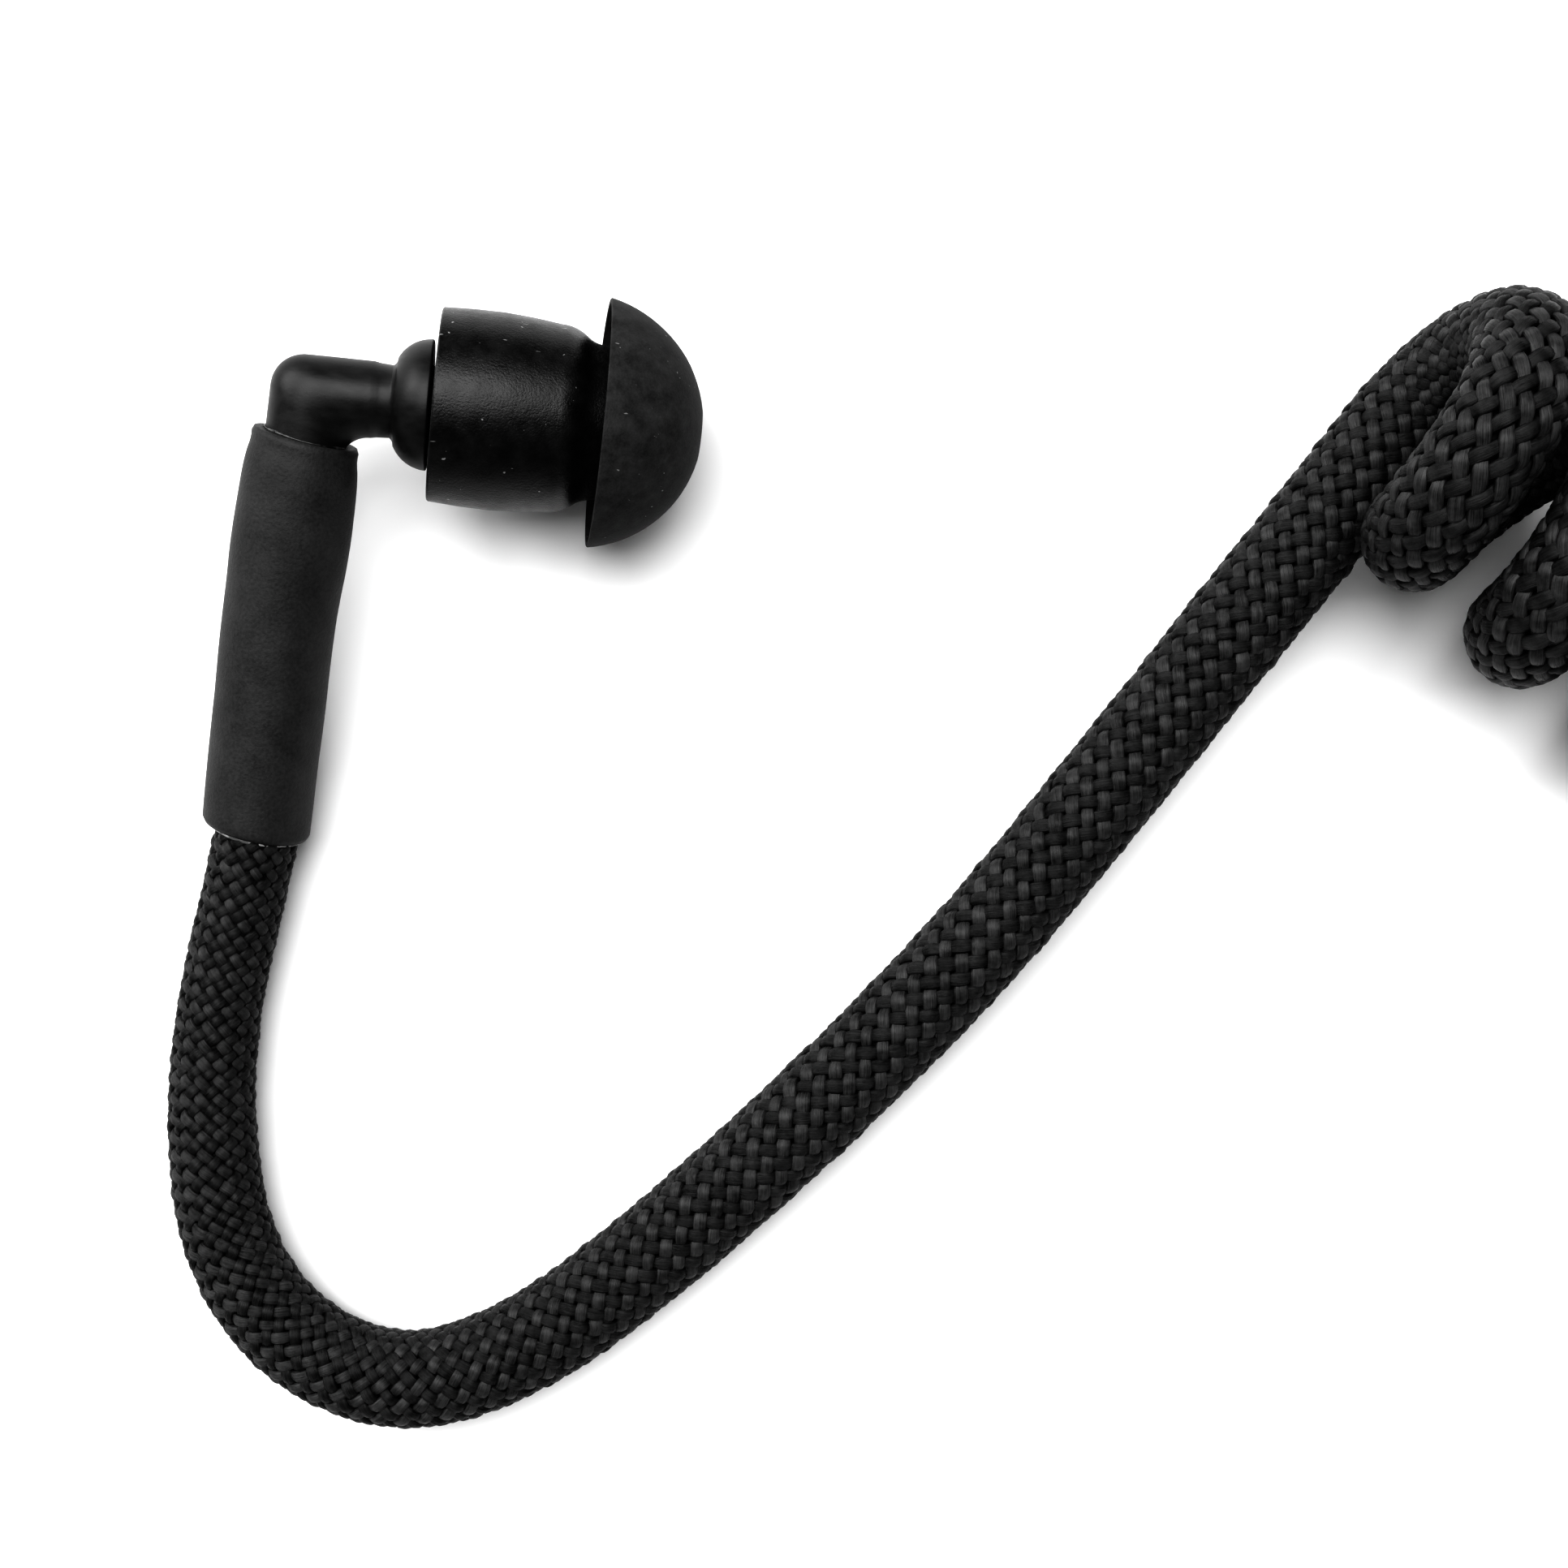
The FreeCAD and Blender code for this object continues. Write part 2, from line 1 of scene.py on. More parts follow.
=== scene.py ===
import math

import bpy
import numpy as np
from mathutils import Matrix, Vector


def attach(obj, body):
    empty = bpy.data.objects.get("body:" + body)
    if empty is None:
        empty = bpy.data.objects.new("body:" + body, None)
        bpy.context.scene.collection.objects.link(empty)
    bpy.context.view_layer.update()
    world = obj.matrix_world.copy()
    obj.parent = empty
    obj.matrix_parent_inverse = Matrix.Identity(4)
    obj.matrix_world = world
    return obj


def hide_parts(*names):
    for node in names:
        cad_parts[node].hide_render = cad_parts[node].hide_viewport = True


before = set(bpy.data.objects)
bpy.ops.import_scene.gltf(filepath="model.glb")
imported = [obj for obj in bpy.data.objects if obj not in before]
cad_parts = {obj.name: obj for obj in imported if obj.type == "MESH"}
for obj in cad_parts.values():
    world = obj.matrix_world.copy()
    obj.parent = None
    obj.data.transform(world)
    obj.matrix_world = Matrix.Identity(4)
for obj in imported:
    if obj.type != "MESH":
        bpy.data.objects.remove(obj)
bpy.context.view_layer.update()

# An acoustic-tube earpiece on a white surface, seen from above. Lengths are in millimetres, in the
# frame of the CAD parts, unless a comment says metres. MM turns them into metres.
MM = 0.001

# --------------------------------------------------------------------------------------------------
# Places and sizes that the CAD parts have
# --------------------------------------------------------------------------------------------------
ELBOW_CORNER = (-7.6, 8.82, 8.545)
NOZZLE_TILT = 8.0
ARM_ROLL = 14.5
ELBOW_ANGLE = 93.7
TIP_ASKEW = 1.0
MID_SPIGOT = 10.3  # the tip is askew about this place on the nozzle's axis

TIP_BASE = 6.4
TIP_SHOULDER = 12.6
TIP_RIM = 14.9
TIP_APEX = 20.4
TIP_RIM_RADIUS = 6.5
TIP_STEM_RADIUS = 5.0
TIP_NECK_RADIUS = 4.1
TIP_SOCKET_RADIUS = 2.45
TIP_SOCKET_END = 14.8
SOUND_HOLE_RADIUS = 1.2

ARM_RADIUS = 1.97
ARM_BORE_RADIUS = 0.9
ARM_SHOULDER = 6.5
HUB_ROOT = 4.42
HUB_FACE = 6.2
HUB_RADIUS = 3.38
SPIGOT_END = 14.4
SPIGOT_RADIUS = 2.0
RIDGE_RADIUS = 2.3
BARB_START = 8.7
BARB_PITCH = 1.4
BARB_LENGTH = 1.26
BARB_RADIUS = 1.35
NIPPLE_END = 11.5
NIPPLE_RADIUS = 1.15

SHRINK_START = 2.25
SHRINK_END = 23.65
PLUG_SHRINK_START = -8.0
PLUG_SHRINK_END = 6.0
# Knots of (place along a sleeve's axis, value): its outer radius, and how far its middle is off
# the axis
EAR_SLEEVE_RADII = [
    (2.25, 2.78),
    (2.8, 2.74),
    (3.6, 2.86),
    (6.0, 3.0),
    (8.4, 3.01),
    (10.4, 2.93),
    (16.0, 2.93),
    (23.65, 2.84),
]
EAR_SLEEVE_MIDDLE = [
    (2.25, 0.12),
    (6.0, 0.04),
    (9.0, -0.04),
    (12.0, -0.15),
    (17.0, -0.1),
    (23.65, 0.0),
]
PLUG_SLEEVE_RADII = [(-8.0, 2.8), (-6.5, 2.95), (-1.0, 3.02), (1.5, 2.9), (4.5, 2.78), (6.0, 2.74)]
PLUG_SLEEVE_MIDDLE = [(-8.0, 0.0), (6.0, 0.0)]

ROUTE = [
    (-9.55, -12.6, 3.4),
    (-10.35, -17.5, 2.8),
    (-11.4, -24.0, 2.55),
    (-11.3, -30.5, 2.55),
    (-9.8, -37.0, 2.6),
    (-5.8, -41.7, 2.65),
    (0.3, -43.6, 2.7),
    (6.9, -40.9, 2.75),
    (14.1, -34.4, 3.0),
    (21.7, -26.3, 3.6),
    (29.2, -17.4, 4.2),
    (36.3, -7.1, 4.7),
    (42.4, 1.9, 5.05),
    (46.6, 8.0, 5.1),
]
COIL_START = (49.7, 12.0, 10.4)
COIL_RADIUS = 5.3
COIL_PITCH = 7.65
COIL_TURNS = 4
COIL_HEADING = -36.6
COIL_DIP = 4.3
COIL_LEAD_IN = 2.0  # radians over which the first turn takes up its pitch
COIL_POINTS_PER_TURN = 16
TAIL = [
    (78.7, 1.4, 2.85),
    (88.0, 3.8, 2.7),
    (97.3, 1.7, 2.7),
    (104.8, -4.5, 2.7),
    (108.7, -13.4, 2.8),
    (108.1, -22.9, 3.6),
    (107.5, -32.1, 4.62),
    (107.5, -41.5, 4.62),
]
PLUG_START = TAIL[-1]


# --------------------------------------------------------------------------------------------------
# Placements
# --------------------------------------------------------------------------------------------------
def turn(axis, degrees):
    return Matrix.Rotation(math.radians(degrees), 4, axis)


def shift(x, y=0.0, z=0.0):
    return Matrix.Translation((x, y, z))


EAR_PLACE = shift(*ELBOW_CORNER) @ turn("Y", NOZZLE_TILT) @ turn("X", ARM_ROLL)
TIP_PLACE = EAR_PLACE @ shift(MID_SPIGOT) @ turn("Z", -TIP_ASKEW) @ shift(-MID_SPIGOT)
ARM_PLACE = EAR_PLACE @ turn("Z", -ELBOW_ANGLE)
PLUG_PLACE = shift(*PLUG_START) @ turn("Z", -90)


def placed(points, place):
    """Points in a local frame in millimetres, as points of the row frame in metres."""
    matrix = np.array(place)
    return (np.asarray(points) @ matrix[:3, :3].T + matrix[:3, 3]) * MM


# --------------------------------------------------------------------------------------------------
# Meshes
# --------------------------------------------------------------------------------------------------
def new_piece(name, points, faces, material, body, uv=None):
    """A smooth mesh from points in metres, on its body and slot. uv has a pair for each point."""
    mesh = bpy.data.meshes.new(name)
    mesh.from_pydata(np.asarray(points).tolist(), [], faces)
    mesh.validate()
    if uv is not None:
        layer = mesh.uv_layers.new(name="along")
        corners = np.empty(len(mesh.loops), dtype=np.int32)
        mesh.loops.foreach_get("vertex_index", corners)
        layer.data.foreach_set("uv", np.asarray(uv, dtype=np.float32)[corners].ravel())
    mesh.polygons.foreach_set("use_smooth", np.ones(len(mesh.polygons), dtype=bool))
    mesh.update()
    piece = bpy.data.objects.new(name, mesh)
    bpy.context.scene.collection.objects.link(piece)
    mesh.materials.append(material)
    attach(piece, body)
    return piece


def ring_faces(rings, count, first=0, closed=False):
    """Quads between rings of count points each; closed joins the last ring to the first."""
    faces = []
    for ring in range(rings if closed else rings - 1):
        here = first + ring * count
        there = first + (ring + 1) % rings * count
        for point in range(count):
            following = (point + 1) % count
            faces.append((here + point, here + following, there + following, there + point))
    return faces


def arc(start, end, radius, step=4.0):
    """Points after start up to end on the short arc; a positive radius bulges to the left."""
    start = np.array(start, dtype=float)
    end = np.array(end, dtype=float)
    chord = end - start
    length = np.linalg.norm(chord)
    left = np.array([-chord[1], chord[0]]) / length
    height = math.sqrt(radius**2 - (length / 2) ** 2)
    centre = (start + end) / 2 - left * math.copysign(height, radius)
    sweep = 2 * math.asin(length / 2 / abs(radius))
    count = max(2, math.ceil(math.degrees(sweep) / step))
    first = math.atan2(*(start - centre)[::-1])
    sign = -math.copysign(1, radius)
    angles = first + sign * sweep * np.arange(1, count + 1) / count
    return [tuple(centre + abs(radius) * np.array([math.cos(a), math.sin(a)])) for a in angles]


def outline(start, *sides):
    """A profile of (along, radius) points. A side is an end point, or (end point, arc radius)."""
    points = [tuple(start)]
    for side in sides:
        if isinstance(side[0], tuple):
            end, radius = side
            points.extend(arc(points[-1], end, radius))
        else:
            points.append(side)
    return points


def lathe(name, profile, place, segments, material, body, roughen=None):
    """A closed profile turned about the X axis of its place. roughen moves the finished points."""
    profile = np.array(profile)
    angles = 2 * np.pi * np.arange(segments) / segments
    x = np.repeat(profile[:, :1], segments, axis=1)
    y = profile[:, 1:] * np.cos(angles)
    z = profile[:, 1:] * np.sin(angles)
    points = np.stack([x, y, z], axis=2).reshape(-1, 3)
    if roughen:
        points = roughen(points)
    faces = ring_faces(len(profile), segments, closed=True)
    return new_piece(name, placed(points, place), faces, material, body)


def wobble(points, size, amount, seed=0.0):
    """A smooth uneven offset for each point, in millimetres: size is the width of one swell."""
    phase = points / size + seed
    x, y, z = phase[:, 0], phase[:, 1], phase[:, 2]
    waves = np.sin(2.1 * x + 1.3 * np.sin(1.7 * y + z))
    waves += np.sin(1.9 * y + 1.1 * np.sin(2.3 * z - x))
    waves += np.sin(2.3 * z + 1.2 * np.sin(1.9 * x - 0.7 * y))
    return amount * waves / 3


# --------------------------------------------------------------------------------------------------
# Materials
# --------------------------------------------------------------------------------------------------
class Nodes:
    """A material's node tree, with short ways to add and join nodes."""

    def __init__(self, name, roughness, specular=0.5):
        self.material = bpy.data.materials.new(name)
        self.material.use_nodes = True
        self.tree = self.material.node_tree
        self.shader = self.tree.nodes["Principled BSDF"]
        self.shader.inputs["Roughness"].default_value = roughness
        self.shader.inputs["Specular IOR Level"].default_value = specular
        self.coordinates = self.add("ShaderNodeTexCoord").outputs["Object"]

    def add(self, kind, **settings):
        node = self.tree.nodes.new(kind)
        for key, value in settings.items():
            if key in node.inputs:
                node.inputs[key].default_value = value
            else:
                setattr(node, key, value)
        return node

    def join(self, output, node, socket):
        self.tree.links.new(output, node.inputs[socket])
        return node

    def noise(self, per_mm, detail=4.0, roughness=0.55, stretch=None, source=None):
        """Noise with about that many spots in a millimetre."""
        node = self.add("ShaderNodeTexNoise", Scale=per_mm / MM, Detail=detail, Roughness=roughness)
        source = source or self.coordinates
        if stretch:
            mapping = self.add("ShaderNodeMapping")
            mapping.inputs["Scale"].default_value = stretch
            self.join(source, mapping, "Vector")
            source = mapping.outputs["Vector"]
        self.join(source, node, "Vector")
        return node.outputs["Fac"]

    def remap(self, output, low, high, to_low, to_high):
        node = self.add("ShaderNodeMapRange")
        values = (low, high, to_low, to_high)
        for socket, value in zip(("From Min", "From Max", "To Min", "To Max"), values):
            node.inputs[socket].default_value = value
        return self.join(output, node, "Value").outputs["Result"]

    def math(self, operation, first, second):
        node = self.add("ShaderNodeMath", operation=operation)
        for index, value in enumerate((first, second)):
            if isinstance(value, (int, float)):
                node.inputs[index].default_value = value
            else:
                self.tree.links.new(value, node.inputs[index])
        return node.outputs["Value"]

    def mix(self, first, first_part, second, second_part):
        """The sum of two values, each times its part."""
        first = self.math("MULTIPLY", first, first_part)
        return self.math("ADD", first, self.math("MULTIPLY", second, second_part))

    def grey(self, output, dark, light, low=0.3, high=0.7):
        """Colours the material from dark to light grey as output goes from low to high."""
        ramp = self.add("ShaderNodeValToRGB")
        ramp.color_ramp.elements[0].position = low
        ramp.color_ramp.elements[0].color = (dark, dark, dark, 1)
        ramp.color_ramp.elements[1].position = high
        ramp.color_ramp.elements[1].color = (light, light, light, 1)
        self.join(output, ramp, "Fac")
        self.join(ramp.outputs["Color"], self.shader, "Base Color")
        return ramp.color_ramp

    def rough(self, output):
        self.join(output, self.shader, "Roughness")

    def bump(self, output, depth_mm, strength=1.0):
        node = self.add("ShaderNodeBump", Strength=strength, Distance=depth_mm * MM)
        self.join(output, node, "Height")
        self.join(node.outputs["Normal"], self.shader, "Normal")


def silicone(name, roughness, dark, light, specular):
    """Ear tip: rubber that is a little mottled, with a few specks and hairs of lint."""
    nodes = Nodes(name, roughness, specular)
    mottle = nodes.noise(1.1, 6.0, 0.62)
    grain = nodes.noise(9.0, 3.0)
    specks = nodes.remap(nodes.noise(2.4, 1.0), 0.757, 0.78, 0.0, 0.6)
    hairs = nodes.remap(nodes.noise(0.9, 2.0, stretch=(0.9, 6.0, 2.5)), 0.745, 0.765, 0.0, 0.6)
    tone = nodes.mix(mottle, 0.75, grain, 0.25)
    lint = nodes.math("MAXIMUM", specks, hairs)
    ramp = nodes.grey(nodes.math("ADD", tone, lint), dark, light, 0.35, 0.75)
    ramp.elements.new(1.0).color = (0.2, 0.2, 0.2, 1)
    nodes.rough(nodes.remap(mottle, 0.3, 0.7, roughness - 0.06, roughness + 0.08))
    nodes.bump(nodes.math("ADD", grain, nodes.math("MULTIPLY", mottle, 1.5)), 0.02)
    return nodes.material


def glossy_plastic(name="elbow_plastic"):
    """Moulded elbow and connector: satin gloss with faint flow marks."""
    nodes = Nodes(name, 0.44, specular=0.38)
    flow = nodes.noise(0.8, 4.0, 0.6, stretch=(1.0, 2.2, 1.0))
    fine = nodes.noise(7.0, 2.0)
    nodes.grey(flow, 0.007, 0.015)
    nodes.rough(nodes.remap(flow, 0.3, 0.7, 0.38, 0.5))
    nodes.bump(nodes.mix(flow, 0.7, fine, 0.3), 0.012)
    return nodes.material


def matte_plastic():
    """Twist collar: a fine spark-eroded texture."""
    nodes = Nodes("collar_plastic", 0.5, specular=0.3)
    grain = nodes.noise(8.0, 3.0)
    nodes.grey(nodes.noise(0.9, 4.0), 0.005, 0.011)
    nodes.rough(nodes.remap(grain, 0.3, 0.7, 0.42, 0.58))
    nodes.bump(grain, 0.02)
    return nodes.material


def shrink_plastic():
    """Heat-shrink: matte and a little cloudy, with a fine leathery grain."""
    nodes = Nodes("heat_shrink", 0.55, specular=0.25)
    cloud = nodes.noise(0.45, 5.0, 0.6)
    grain = nodes.noise(5.5, 4.0, 0.6)
    tone = nodes.mix(cloud, 0.5, grain, 0.5)
    nodes.grey(tone, 0.02, 0.044, 0.35, 0.65)
    nodes.rough(nodes.remap(grain, 0.3, 0.7, 0.5, 0.64))
    nodes.bump(grain, 0.035)
    return nodes.material


def hot_melt(name, dark, light):
    """Squeezed-out glue, mottled between two greys."""
    nodes = Nodes(name, 0.3)
    nodes.grey(nodes.noise(0.9, 3.0), dark, light, 0.44, 0.6)
    nodes.bump(nodes.noise(4.0, 3.0), 0.03)
    return nodes.material


def tube_plastic():
    """The dark tube behind the braid's yarns."""
    nodes = Nodes("tube_plastic", 0.6, specular=0.2)
    nodes.grey(nodes.noise(3.0, 3.0), 0.001, 0.002)
    nodes.bump(nodes.noise(6.0, 2.0), 0.02)
    return nodes.material


def rubber():
    nodes = Nodes("seal_rubber", 0.45, specular=0.3)
    nodes.grey(nodes.noise(2.0, 3.0), 0.004, 0.009)
    nodes.bump(nodes.noise(8.0, 2.0), 0.01)
    return nodes.material


def yarn(name, dark, light):
    """Braid yarn: fine filaments that run along each yarn, and darker and lighter stretches."""
    nodes = Nodes(name, 0.42, specular=0.25)
    along = nodes.add("ShaderNodeUVMap", uv_map="along").outputs["UV"]
    fibres = nodes.noise(0.001, 3.0, 0.7, stretch=(13.0, 0.35, 1.0), source=along)
    threads = nodes.noise(0.001, 2.0, 0.5, stretch=(34.0, 0.9, 1.0), source=along)
    patches = nodes.noise(1.3, 3.0, 0.6)
    threaded = nodes.mix(fibres, 0.6, threads, 0.4)
    tone = nodes.mix(threaded, 0.6, patches, 0.4)
    nodes.grey(tone, dark, light, 0.38, 0.62)
    nodes.rough(nodes.remap(threaded, 0.3, 0.7, 0.34, 0.55))
    nodes.bump(threaded, 0.09)
    across = nodes.add("ShaderNodeTangent", direction_type="UV_MAP", uv_map="along")
    nodes.join(across.outputs["Tangent"], nodes.shader, "Tangent")
    nodes.shader.inputs["Anisotropic"].default_value = 0.85
    return nodes.material


def surface_white():
    nodes = Nodes("white_surface", 0.9, specular=0.1)
    nodes.shader.inputs["Base Color"].default_value = (0.93, 0.93, 0.93, 1)
    return nodes.material


# --------------------------------------------------------------------------------------------------
# Ear end
# --------------------------------------------------------------------------------------------------
def ear_tip(stem_material, dome_material):
    """Mushroom tip: bulging stem with a socket, rounded shoulder, hollow dome with a thin rim."""
    segments = 192
    wall = 0.55
    edge = 0.14  # rounding of the stem's base
    lip = 0.25  # rounding of the socket's and the sound hole's mouths
    corner = 0.4  # rounding between the neck and the dome's inside
    height = TIP_APEX - TIP_RIM
    outside = (height**2 + TIP_RIM_RADIUS**2) / (2 * height)
    inside = outside - wall
    centre = TIP_APEX - outside
    neck = TIP_NECK_RADIUS - 0.15
    hole_x = centre + math.sqrt(outside**2 - (SOUND_HOLE_RADIUS + lip) ** 2)
    inside_x = centre + math.sqrt(inside**2 - (neck + corner) ** 2)
    profile = outline(
        (TIP_SOCKET_END, SOUND_HOLE_RADIUS),
        (TIP_SOCKET_END, TIP_SOCKET_RADIUS),
        (TIP_BASE + lip, TIP_SOCKET_RADIUS),
        ((TIP_BASE, TIP_SOCKET_RADIUS + lip), lip),
        (TIP_BASE, TIP_STEM_RADIUS - edge),
        ((TIP_BASE + edge, TIP_STEM_RADIUS), edge),
        ((TIP_SHOULDER, TIP_STEM_RADIUS - edge), 26.0),
        ((TIP_SHOULDER + 1.3, 4.42), 2.2),
        ((TIP_RIM - 0.4, TIP_NECK_RADIUS), -1.6),
        (TIP_RIM + 0.3, neck),
        (inside_x - corner, neck),
        ((inside_x, neck + corner), -corner),
        ((TIP_RIM + 0.5, 6.03), -inside),
        (TIP_RIM + 0.06, 6.2),
        ((TIP_RIM, 6.27), 0.08),
        (TIP_RIM, 6.42),
        ((TIP_RIM + 0.08, TIP_RIM_RADIUS), 0.09),
        ((hole_x, SOUND_HOLE_RADIUS + lip), outside),
        ((hole_x - lip, SOUND_HOLE_RADIUS), lip + 0.01),
    )

    def roughen(points):
        """Swells the outside a little unevenly, and leaves the socket round."""
        radius = np.hypot(points[:, 1], points[:, 2])
        swell = wobble(points, 3.0, 0.035) + wobble(points, 1.1, 0.012, 4.0)
        scale = 1 + np.where(radius > 3.5, swell / np.maximum(radius, 1), 0)
        points[:, 1:] *= scale[:, None]
        return points

    piece = lathe(
        "ear_tip_skin", profile, TIP_PLACE, segments, stem_material, "tip", roughen
    )
    piece.data.materials.append(dome_material)
    on_dome = []
    for x, radius in profile:
        past_rim = x >= TIP_RIM - 0.01
        in_wall = math.hypot(x - centre, radius) > inside - 0.05
        on_dome.append(past_rim and in_wall)
    material_index = np.repeat(np.array(on_dome, dtype=np.int32), segments)
    piece.data.polygons.foreach_set("material_index", material_index)
    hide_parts("ear_tip")


def elbow_bend_rings(segments):
    """Rings of the bend from the nozzle's arm to the tube's, in planes through the inner bend."""
    inner_bend = 1.5
    outer_round = 1.75
    far = 2 * ARM_RADIUS + inner_bend
    whole = math.radians(180 - ELBOW_ANGLE)
    half = whole / 2
    reach = (ARM_RADIUS + inner_bend) * math.tan(half)
    pivot = np.array([reach, -(ARM_RADIUS + inner_bend), 0.0])
    round_centre = (far - outer_round) / math.cos(half)
    tangent = math.atan2(round_centre * math.sin(half), far)
    angles = 2 * np.pi * np.arange(segments) / segments
    rings = []
    for angle in np.linspace(0, whole, 45):
        if angle < tangent:
            distance = far / math.cos(angle)
        elif angle > whole - tangent:
            distance = far / math.cos(whole - angle)
        else:
            off = angle - half
            distance = round_centre * math.cos(off)
            distance += math.sqrt(outer_round**2 - (round_centre * math.sin(off)) ** 2)
        outwards = np.array([-math.sin(angle), math.cos(angle), 0.0])
        middle = pivot + outwards * (inner_bend + distance) / 2
        wide = (distance - inner_bend) / 2
        ring = middle + np.outer(np.cos(angles) * wide, outwards)
        ring[:, 2] += np.sin(angles) * ARM_RADIUS
        rings.append(ring)
    return rings, reach


def turned_rings(profile, place, segments):
    """Rings about the X axis of a place, starting on its +Y side."""
    angles = 2 * np.pi * np.arange(segments) / segments
    rings = []
    for x, radius in profile:
        across = radius * np.cos(angles)
        up = radius * np.sin(angles)
        ring = np.stack([np.full(segments, x), across, up], axis=1)
        rings.append(ring @ np.array(place)[:3, :3].T)
    return rings


def elbow(material):
    """Moulded elbow: spigot with its ridge, half-ball hub, both arms and barbed nipple."""
    segments = 96
    bend, reach = elbow_bend_rings(segments)
    nozzle = outline(
        (HUB_FACE + 0.8, ARM_BORE_RADIUS),
        (SPIGOT_END, ARM_BORE_RADIUS),
        (SPIGOT_END, 1.75),
        ((SPIGOT_END - 0.15, 1.9), 0.16),
        (SPIGOT_END - 1.0, RIDGE_RADIUS),
        (SPIGOT_END - 2.0, SPIGOT_RADIUS),
        (HUB_FACE + 0.15, SPIGOT_RADIUS),
        ((HUB_FACE, SPIGOT_RADIUS + 0.15), 0.16),
        (HUB_FACE, HUB_RADIUS - 0.1),
        ((HUB_FACE - 0.1, HUB_RADIUS), -0.12),
        ((HUB_ROOT, 2.3), -2.0),
        ((HUB_ROOT - 0.22, ARM_RADIUS - 0.1), 0.5),
        (reach + 0.3, ARM_RADIUS - 0.06),
    )
    barbs = []
    for barb in range(2):
        start = BARB_START + BARB_PITCH * barb
        barbs.append((start, NIPPLE_RADIUS))
        barbs.append((start, BARB_RADIUS))
        barbs.append((start + BARB_LENGTH, NIPPLE_RADIUS))
    arm = outline(
        (reach + 0.3, ARM_RADIUS),
        (ARM_SHOULDER - 0.1, ARM_RADIUS),
        (ARM_SHOULDER, ARM_RADIUS - 0.1),
        (ARM_SHOULDER, NIPPLE_RADIUS),
        *barbs,
        (NIPPLE_END, NIPPLE_RADIUS - 0.1),
        (NIPPLE_END, ARM_BORE_RADIUS),
        (3.0, ARM_BORE_RADIUS),
    )
    rings = turned_rings(nozzle, Matrix.Identity(4), segments)
    rings += bend
    rings += turned_rings(arm, turn("Z", -ELBOW_ANGLE), segments)
    points = np.concatenate(rings)
    points += wobble(points, 2.2, 0.018)[:, None] * np.array([0.3, 1.0, 1.0])
    points = placed(points, EAR_PLACE)
    faces = ring_faces(len(rings), segments, closed=True)
    piece = new_piece("elbow_skin", points, faces, material, "tube_assembly")
    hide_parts("elbow")


def smooth_table(x, knots):
    """Values at x on a smooth curve through (place, value) knots."""
    places, values = np.array(knots, dtype=float).T
    slopes = np.gradient(values, places)
    index = np.clip(np.searchsorted(places, x) - 1, 0, len(places) - 2)
    span = places[index + 1] - places[index]
    t = np.clip((x - places[index]) / span, 0, 1)
    return (
        (2 * t**3 - 3 * t**2 + 1) * values[index]
        + (t**3 - 2 * t**2 + t) * span * slopes[index]
        + (3 * t**2 - 2 * t**3) * values[index + 1]
        + (t**3 - t**2) * span * slopes[index + 1]
    )


def shrink_sleeve(name, place, start, end, radius, middle, bore, cut, material, seed):
    """Heat-shrink: knots give its outer radius and how far its middle is off the axis. bore is the
    inner radius of its two ends, and cut is how far they are off square."""
    segments = 128
    edge = 0.12  # rounding of the outer edge of each end
    depth = 0.4  # how far the bore of each end goes in before the wall closes round the tube
    angles = 2 * np.pi * np.arange(segments) / segments
    length = end - start

    def ring(part, size):
        x = start + part * length
        slant = np.interp(part, [0, 1], cut)
        centre = smooth_table(np.array([x]), middle)[0]
        along = x + slant * np.cos(angles)
        return np.stack([along, centre + size * np.cos(angles), size * np.sin(angles)], axis=1)

    rings = []
    for part in np.linspace(0, 1, 90):
        size = smooth_table(np.array([start + part * length]), radius)[0]
        inset = edge - min(part, 1 - part) * length
        if inset > 0:
            size -= edge - math.sqrt(max(edge**2 - inset**2, 0))
        rings.append(ring(part, size))
    rings += [ring(1, bore[1]), ring(1 - depth / length, bore[1])]
    rings += [ring(depth / length, bore[0]), ring(0, bore[0])]
    points = np.concatenate(rings)
    outwards = points * np.array([0, 1, 1])
    outwards /= np.maximum(np.linalg.norm(outwards, axis=1), 0.1)[:, None]
    amount = wobble(points, 4.5, 0.05, seed) + wobble(points, 1.6, 0.016, seed + 3)
    points += outwards * amount[:, None]
    faces = ring_faces(len(rings), segments, closed=True)
    return new_piece(name, placed(points, place), faces, material, "tube_assembly")


def glue_bead(name, place, station, centre, radius, slant, material, seed):
    """A thin uneven ring of glue at the mouth of a heat-shrink."""
    segments = 160
    section_points = 10
    waves = 5
    around = 2 * np.pi * np.arange(segments) / segments
    across = 2 * np.pi * np.arange(section_points) / section_points
    phases = np.random.default_rng(seed).uniform(0, 2 * np.pi, waves)
    swell = sum(np.sin((wave + 2) * around + phases[wave]) for wave in range(waves)) / 2
    thickness = np.clip(0.06 + 0.035 * swell, 0.02, 0.16)
    rings = []
    for angle, size in zip(around, thickness):
        out = radius + size * np.cos(across)
        x = station + slant * math.cos(angle) + 1.2 * size * np.sin(across)
        rings.append(np.stack([x, centre + out * math.cos(angle), out * math.sin(angle)], axis=1))
    points = placed(np.concatenate(rings), place)
    faces = ring_faces(segments, section_points, closed=True)
    return new_piece(name, points, faces, material, "tube_assembly")


